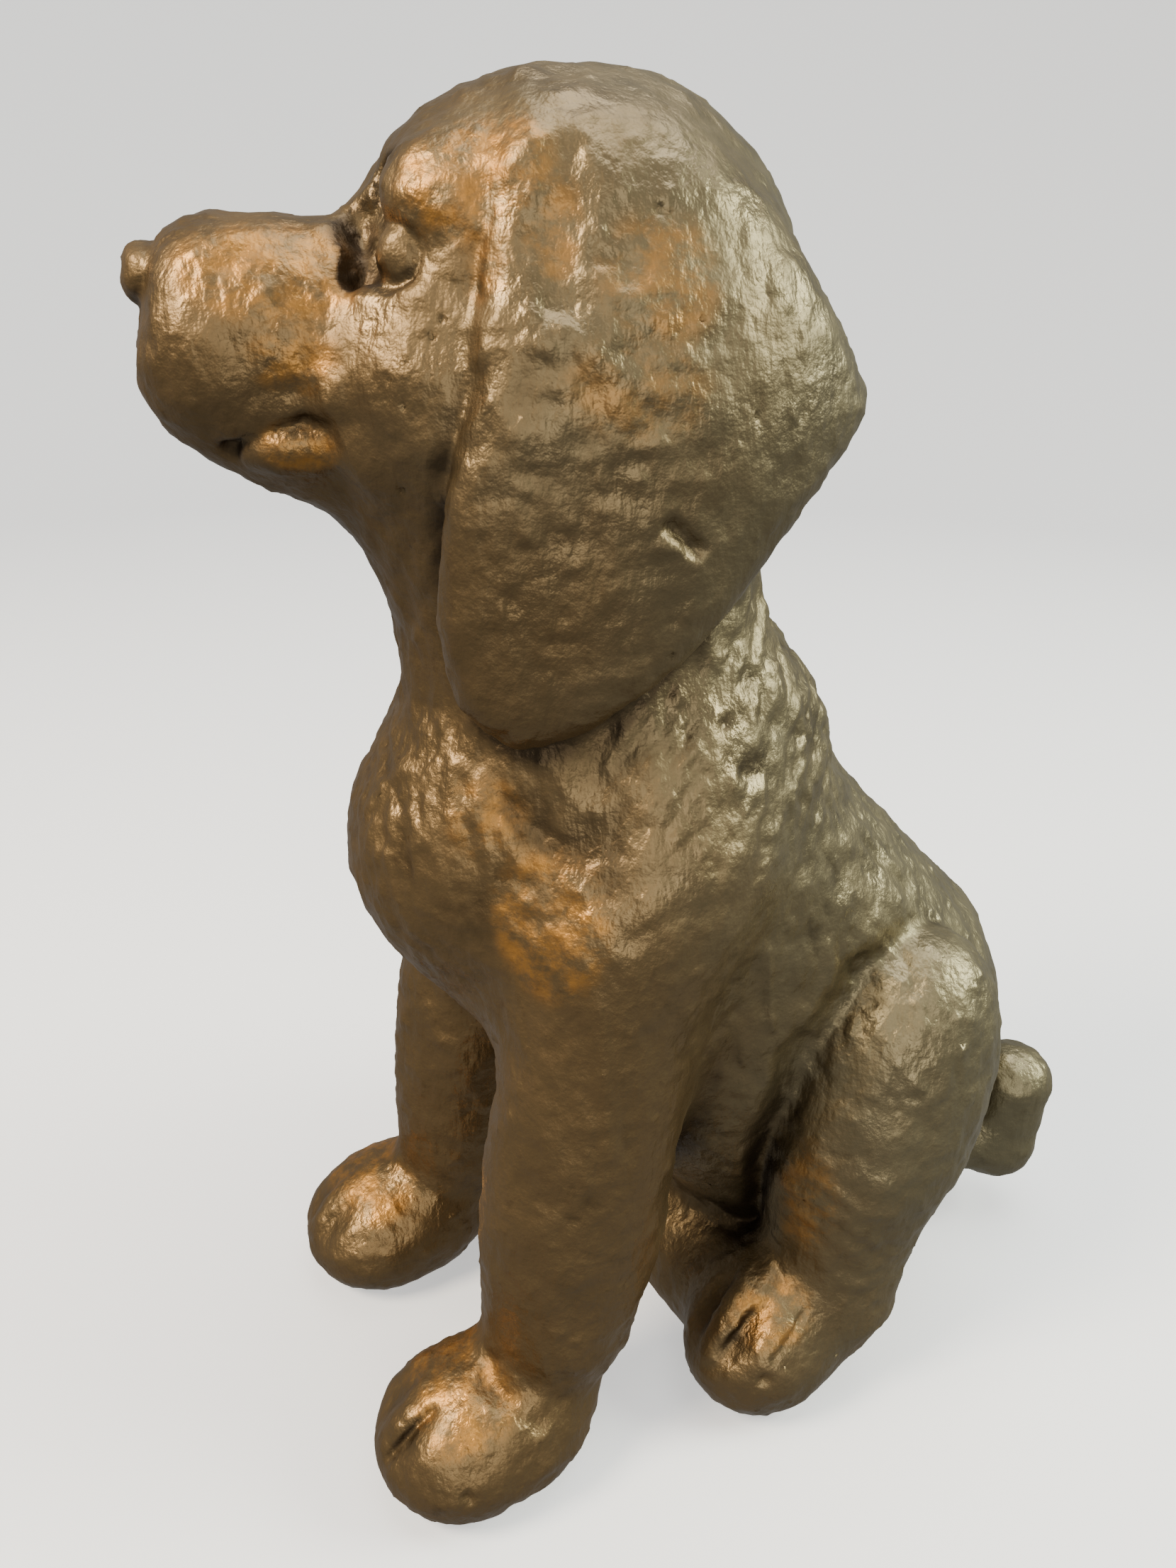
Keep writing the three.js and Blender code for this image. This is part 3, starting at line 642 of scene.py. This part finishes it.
def make_dog():
    points, faces = skin(*sampled_field())
    normals = point_normals(points, faces)
    points = points + normals * relief(points)[:, None]
    points[:, 2] = np.maximum(points[:, 2], 0)
    made = thinned(object_from("dog_skin", points, faces))
    mark_points(made)
    return made


# Paint
GOLD = (0.218, 0.143, 0.064, 1)
# Olive is a painted tint of the cool light that falls on the back and top
OLIVE_COOL_LIGHT = (0.250, 0.213, 0.122, 1)
# Copper is the colour of the painted warm highlights
COPPER_HIGHLIGHT = (0.510, 0.248, 0.058, 1)
UMBER = (0.040, 0.026, 0.014, 1)
# Shares of umber: on the head, in worn spots, and as painted shade in hollows and in the dips of the
# relief
HEAD_PATINA, WORN_PATINA, HOLLOW_PAINTED_SHADE, DIP_PAINTED_SHADE = 0.20, 0.35, 0.88, 0.55
METALLIC, SMOOTHEST, ROUGHEST = 0.85, 0.34, 0.52
BUMP_STRENGTH, BUMP_DISTANCE = 0.9, 0.0013
# Noise scales, in features per metre; the streaks are drawn out along their third direction
CLOUD_SCALE, SHEEN_SCALE, HIGHLIGHT_SPECKLE_SCALE, WORN_SCALE, GRAIN_SCALE = 9, 60, 80, 120, 240
STREAK_SCALES = (300, 300, 90)


class Nodes:
    def __init__(self, material):
        self.tree = material.node_tree
        self.tree.nodes.clear()

    def add(self, kind, **settings):
        node = self.tree.nodes.new("ShaderNode" + kind)
        for key, value in settings.items():
            setattr(node, key, value)
        return node

    def join(self, source, target):
        self.tree.links.new(source, target)

    def noise(self, place, scale, detail, roughness):
        node = self.add("TexNoise")
        node.inputs["Scale"].default_value = scale
        node.inputs["Detail"].default_value = detail
        node.inputs["Roughness"].default_value = roughness
        self.join(place, node.inputs["Vector"])
        return node.outputs["Fac"]

    def stretched(self, place, scale, turn):
        node = self.add("Mapping")
        node.inputs["Scale"].default_value = scale
        node.inputs["Rotation"].default_value = [math.radians(a) for a in turn]
        self.join(place, node.inputs["Vector"])
        return node.outputs["Vector"]

    def ramp(self, value, low, high, to_low=0.0, to_high=1.0):
        node = self.add("MapRange", interpolation_type="SMOOTHSTEP")
        limits = {"From Min": low, "From Max": high, "To Min": to_low, "To Max": to_high}
        for name, number in limits.items():
            node.inputs[name].default_value = number
        self.join(value, node.inputs["Value"])
        return node.outputs["Result"]

    def mix(self, share, first, second):
        node = self.add("Mix", data_type="RGBA")
        self.join(share, node.inputs["Factor"])
        for socket, colour in ((node.inputs["A"], first), (node.inputs["B"], second)):
            if isinstance(colour, tuple):
                socket.default_value = colour
            else:
                self.join(colour, socket)
        return node.outputs["Result"]

    def math(self, operation, first, second):
        node = self.add("Math", operation=operation)
        for socket, value in zip(node.inputs, (first, second)):
            if isinstance(value, (int, float)):
                socket.default_value = value
            else:
                self.join(value, socket)
        return node.outputs["Value"]

    def attribute(self, name):
        return self.add("Attribute", attribute_name=name).outputs["Fac"]


def bronze_paint():
    material = bpy.data.materials.new("bronze_paint")
    material.use_nodes = True
    n = Nodes(material)
    place = n.add("TexCoord").outputs["Object"]

    # Olive to the back and top as a painted tint of the cool light from behind, gold in front, and copper
    # as painted warm highlights
    along = n.add("SeparateXYZ")
    n.join(place, along.inputs["Vector"])
    cloud = n.math("MULTIPLY", n.noise(place, CLOUD_SCALE, 5, 0.6), 0.16)
    lift = n.math("MULTIPLY", along.outputs["Z"], 0.25)
    back = n.math("ADD", n.math("ADD", along.outputs["Y"], lift), cloud)
    colour = n.mix(n.ramp(back, 0.04, 0.20), GOLD, OLIVE_COOL_LIGHT)
    # Noise that breaks the painted warm highlights into speckles
    highlight_speckle = n.noise(n.stretched(place, (1, 1, 1.4), (20, 0, 0)), HIGHLIGHT_SPECKLE_SCALE, 7, 0.7)
    painted_highlight = n.ramp(n.attribute("painted_highlight"), 0.05, 0.8)
    colour = n.mix(n.math("MULTIPLY", painted_highlight, n.ramp(highlight_speckle, 0.38, 0.64)), colour, COPPER_HIGHLIGHT)

    # Umber where it is worn and over the head, and as painted shade in the hollows and dips
    worn = n.ramp(n.noise(place, WORN_SCALE, 6, 0.7), 0.50, 0.80, 0, WORN_PATINA)
    colour = n.mix(worn, colour, UMBER)
    colour = n.mix(n.ramp(along.outputs["Z"], 0.24, 0.35, 0, HEAD_PATINA), colour, UMBER)
    hollow_painted_shade = n.ramp(n.attribute("hollow"), 0.16, 0.65, 0, HOLLOW_PAINTED_SHADE)
    dip_painted_shade = n.ramp(n.attribute("relief"), -0.7, -2.2, 0, DIP_PAINTED_SHADE)
    colour = n.mix(n.math("MAXIMUM", hollow_painted_shade, dip_painted_shade), colour, UMBER)

    # Brush streaks and grain
    streaks = n.noise(n.stretched(place, STREAK_SCALES, (15, 10, 0)), 1, 2, 0.5)
    grain = n.noise(place, GRAIN_SCALE, 3, 0.6)
    height = n.math("ADD", n.math("MULTIPLY", streaks, 0.5), n.math("MULTIPLY", grain, 0.5))
    bump = n.add("Bump")
    bump.inputs["Strength"].default_value = BUMP_STRENGTH
    bump.inputs["Distance"].default_value = BUMP_DISTANCE
    n.join(height, bump.inputs["Height"])

    shader = n.add("BsdfPrincipled")
    shader.inputs["Metallic"].default_value = METALLIC
    sheen = n.ramp(n.noise(place, SHEEN_SCALE, 5, 0.6), 0.3, 0.7, SMOOTHEST, ROUGHEST)
    n.join(colour, shader.inputs["Base Color"])
    n.join(sheen, shader.inputs["Roughness"])
    n.join(bump.outputs["Normal"], shader.inputs["Normal"])
    n.join(shader.outputs["BSDF"], n.add("OutputMaterial").inputs["Surface"])
    return material


# Floor that sweeps up into a round pale wall
FLOOR_RADIUS, SWEEP_RADIUS, WALL_TOP = 1.8, 1.2, 3.2
FLOOR_SIDES, SWEEP_STEPS = 96, 16
PALE = (0.92, 0.92, 0.91, 1)
FLOOR_GLOW = 0.72


# Rings of points around the upright axis, from the floor's middle point out and up to the wall's top
def bowl(profile, sides):
    points = [(0.0, 0.0, 0.0)]
    for r, z in profile:
        for s in range(sides):
            a = 2 * math.pi * s / sides
            points.append((r * math.cos(a), r * math.sin(a), z))
    faces = [(0, 1 + s, 1 + (s + 1) % sides) for s in range(sides)]
    for ring in range(len(profile) - 1):
        first = 1 + ring * sides
        for s in range(sides):
            t = (s + 1) % sides
            faces.append((first + s, first + sides + s, first + sides + t, first + t))
    return points, faces


def pale_paint():
    material = bpy.data.materials.new("pale_floor")
    material.use_nodes = True
    shader = material.node_tree.nodes["Principled BSDF"]
    shader.inputs["Base Color"].default_value = PALE
    shader.inputs["Roughness"].default_value = 0.9
    shader.inputs["Specular IOR Level"].default_value = 0.2
    shader.inputs["Emission Color"].default_value = PALE
    shader.inputs["Emission Strength"].default_value = FLOOR_GLOW
    return material


def make_floor():
    profile = [(FLOOR_RADIUS, 0.0)]
    for i in range(1, SWEEP_STEPS + 1):
        a = math.pi / 2 * i / SWEEP_STEPS
        profile.append((FLOOR_RADIUS + SWEEP_RADIUS * math.sin(a), SWEEP_RADIUS * (1 - math.cos(a))))
    profile.append((FLOOR_RADIUS + SWEEP_RADIUS, WALL_TOP))
    points, faces = bowl(profile, FLOOR_SIDES)
    data = bpy.data.meshes.new("floor")
    data.from_pydata(points, [], faces)
    data.polygons.foreach_set("use_smooth", [True] * len(faces))
    data.materials.append(pale_paint())
    floor = bpy.data.objects.new("floor", data)
    bpy.context.scene.collection.objects.link(floor)
    floor.visible_glossy = False
    floor.visible_diffuse = False
    return floor


def make_camera():
    azimuth, pitch, roll = [math.radians(v) for v in (CAMERA_AZIMUTH, CAMERA_PITCH, CAMERA_ROLL)]
    level_forward = Vector((-math.sin(azimuth), math.cos(azimuth), 0))
    forward = math.cos(pitch) * level_forward - math.sin(pitch) * Vector((0, 0, 1))
    level = Vector((math.cos(azimuth), math.sin(azimuth), 0))
    below = forward.cross(level)
    right = math.cos(roll) * level + math.sin(roll) * below
    down = math.cos(roll) * below - math.sin(roll) * level
    data = bpy.data.cameras.new("camera")
    data.sensor_width = SENSOR
    data.lens = FOCAL_PIXELS / PHOTO_HEIGHT * SENSOR
    data.clip_start, data.clip_end = CLIP
    camera = bpy.data.objects.new("camera", data)
    bpy.context.scene.collection.objects.link(camera)
    turned = Matrix((right, -down, -forward)).transposed()
    place = (Vector(CAMERA_AT) - Vector(BOX_MIDDLE)) * MM
    camera.matrix_world = Matrix.Translation(place) @ turned.to_4x4()
    bpy.context.scene.camera = camera


# Soft lamps: where each stands, its size, power in watts and colour; all look at the dog's middle
LAMPS = [
    dict(name="key", at=(0.1, -1.3, 1.5), size=0.7, power=44, colour=(1.0, 0.86, 0.68)),
    dict(name="window", at=(0.8, 1.4, 1.2), size=0.9, power=34, colour=(0.94, 1.0, 0.88)),
    dict(name="fill", at=(1.5, -0.5, 0.8), size=1.2, power=8, colour=(1.0, 0.97, 0.9)),
    dict(name="top", at=(0.0, 0.3, 2.2), size=1.6, power=30, colour=(1.0, 1.0, 1.0)),
]
LOOK_AT = Vector((0, 0, 0.24))
SKY = (0.9, 0.92, 0.95, 1)
SKY_STRENGTH = 0.32


def make_lamps():
    for lamp in LAMPS:
        data = bpy.data.lights.new(lamp["name"], "AREA")
        data.shape = "DISK"
        data.size = lamp["size"]
        data.energy = lamp["power"]
        data.color = lamp["colour"]
        made = bpy.data.objects.new(lamp["name"], data)
        bpy.context.scene.collection.objects.link(made)
        made.location = lamp["at"]
        made.rotation_euler = (LOOK_AT - made.location).to_track_quat("-Z", "Y").to_euler()


def make_world():
    world = bpy.data.worlds.new("studio")
    world.use_nodes = True
    background = world.node_tree.nodes["Background"]
    background.inputs["Color"].default_value = SKY
    background.inputs["Strength"].default_value = SKY_STRENGTH
    bpy.context.scene.world = world


dog = make_dog()
dog.data.materials.append(bronze_paint())
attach(dog, "root")
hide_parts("dog")
make_floor()
make_camera()
make_lamps()
make_world()
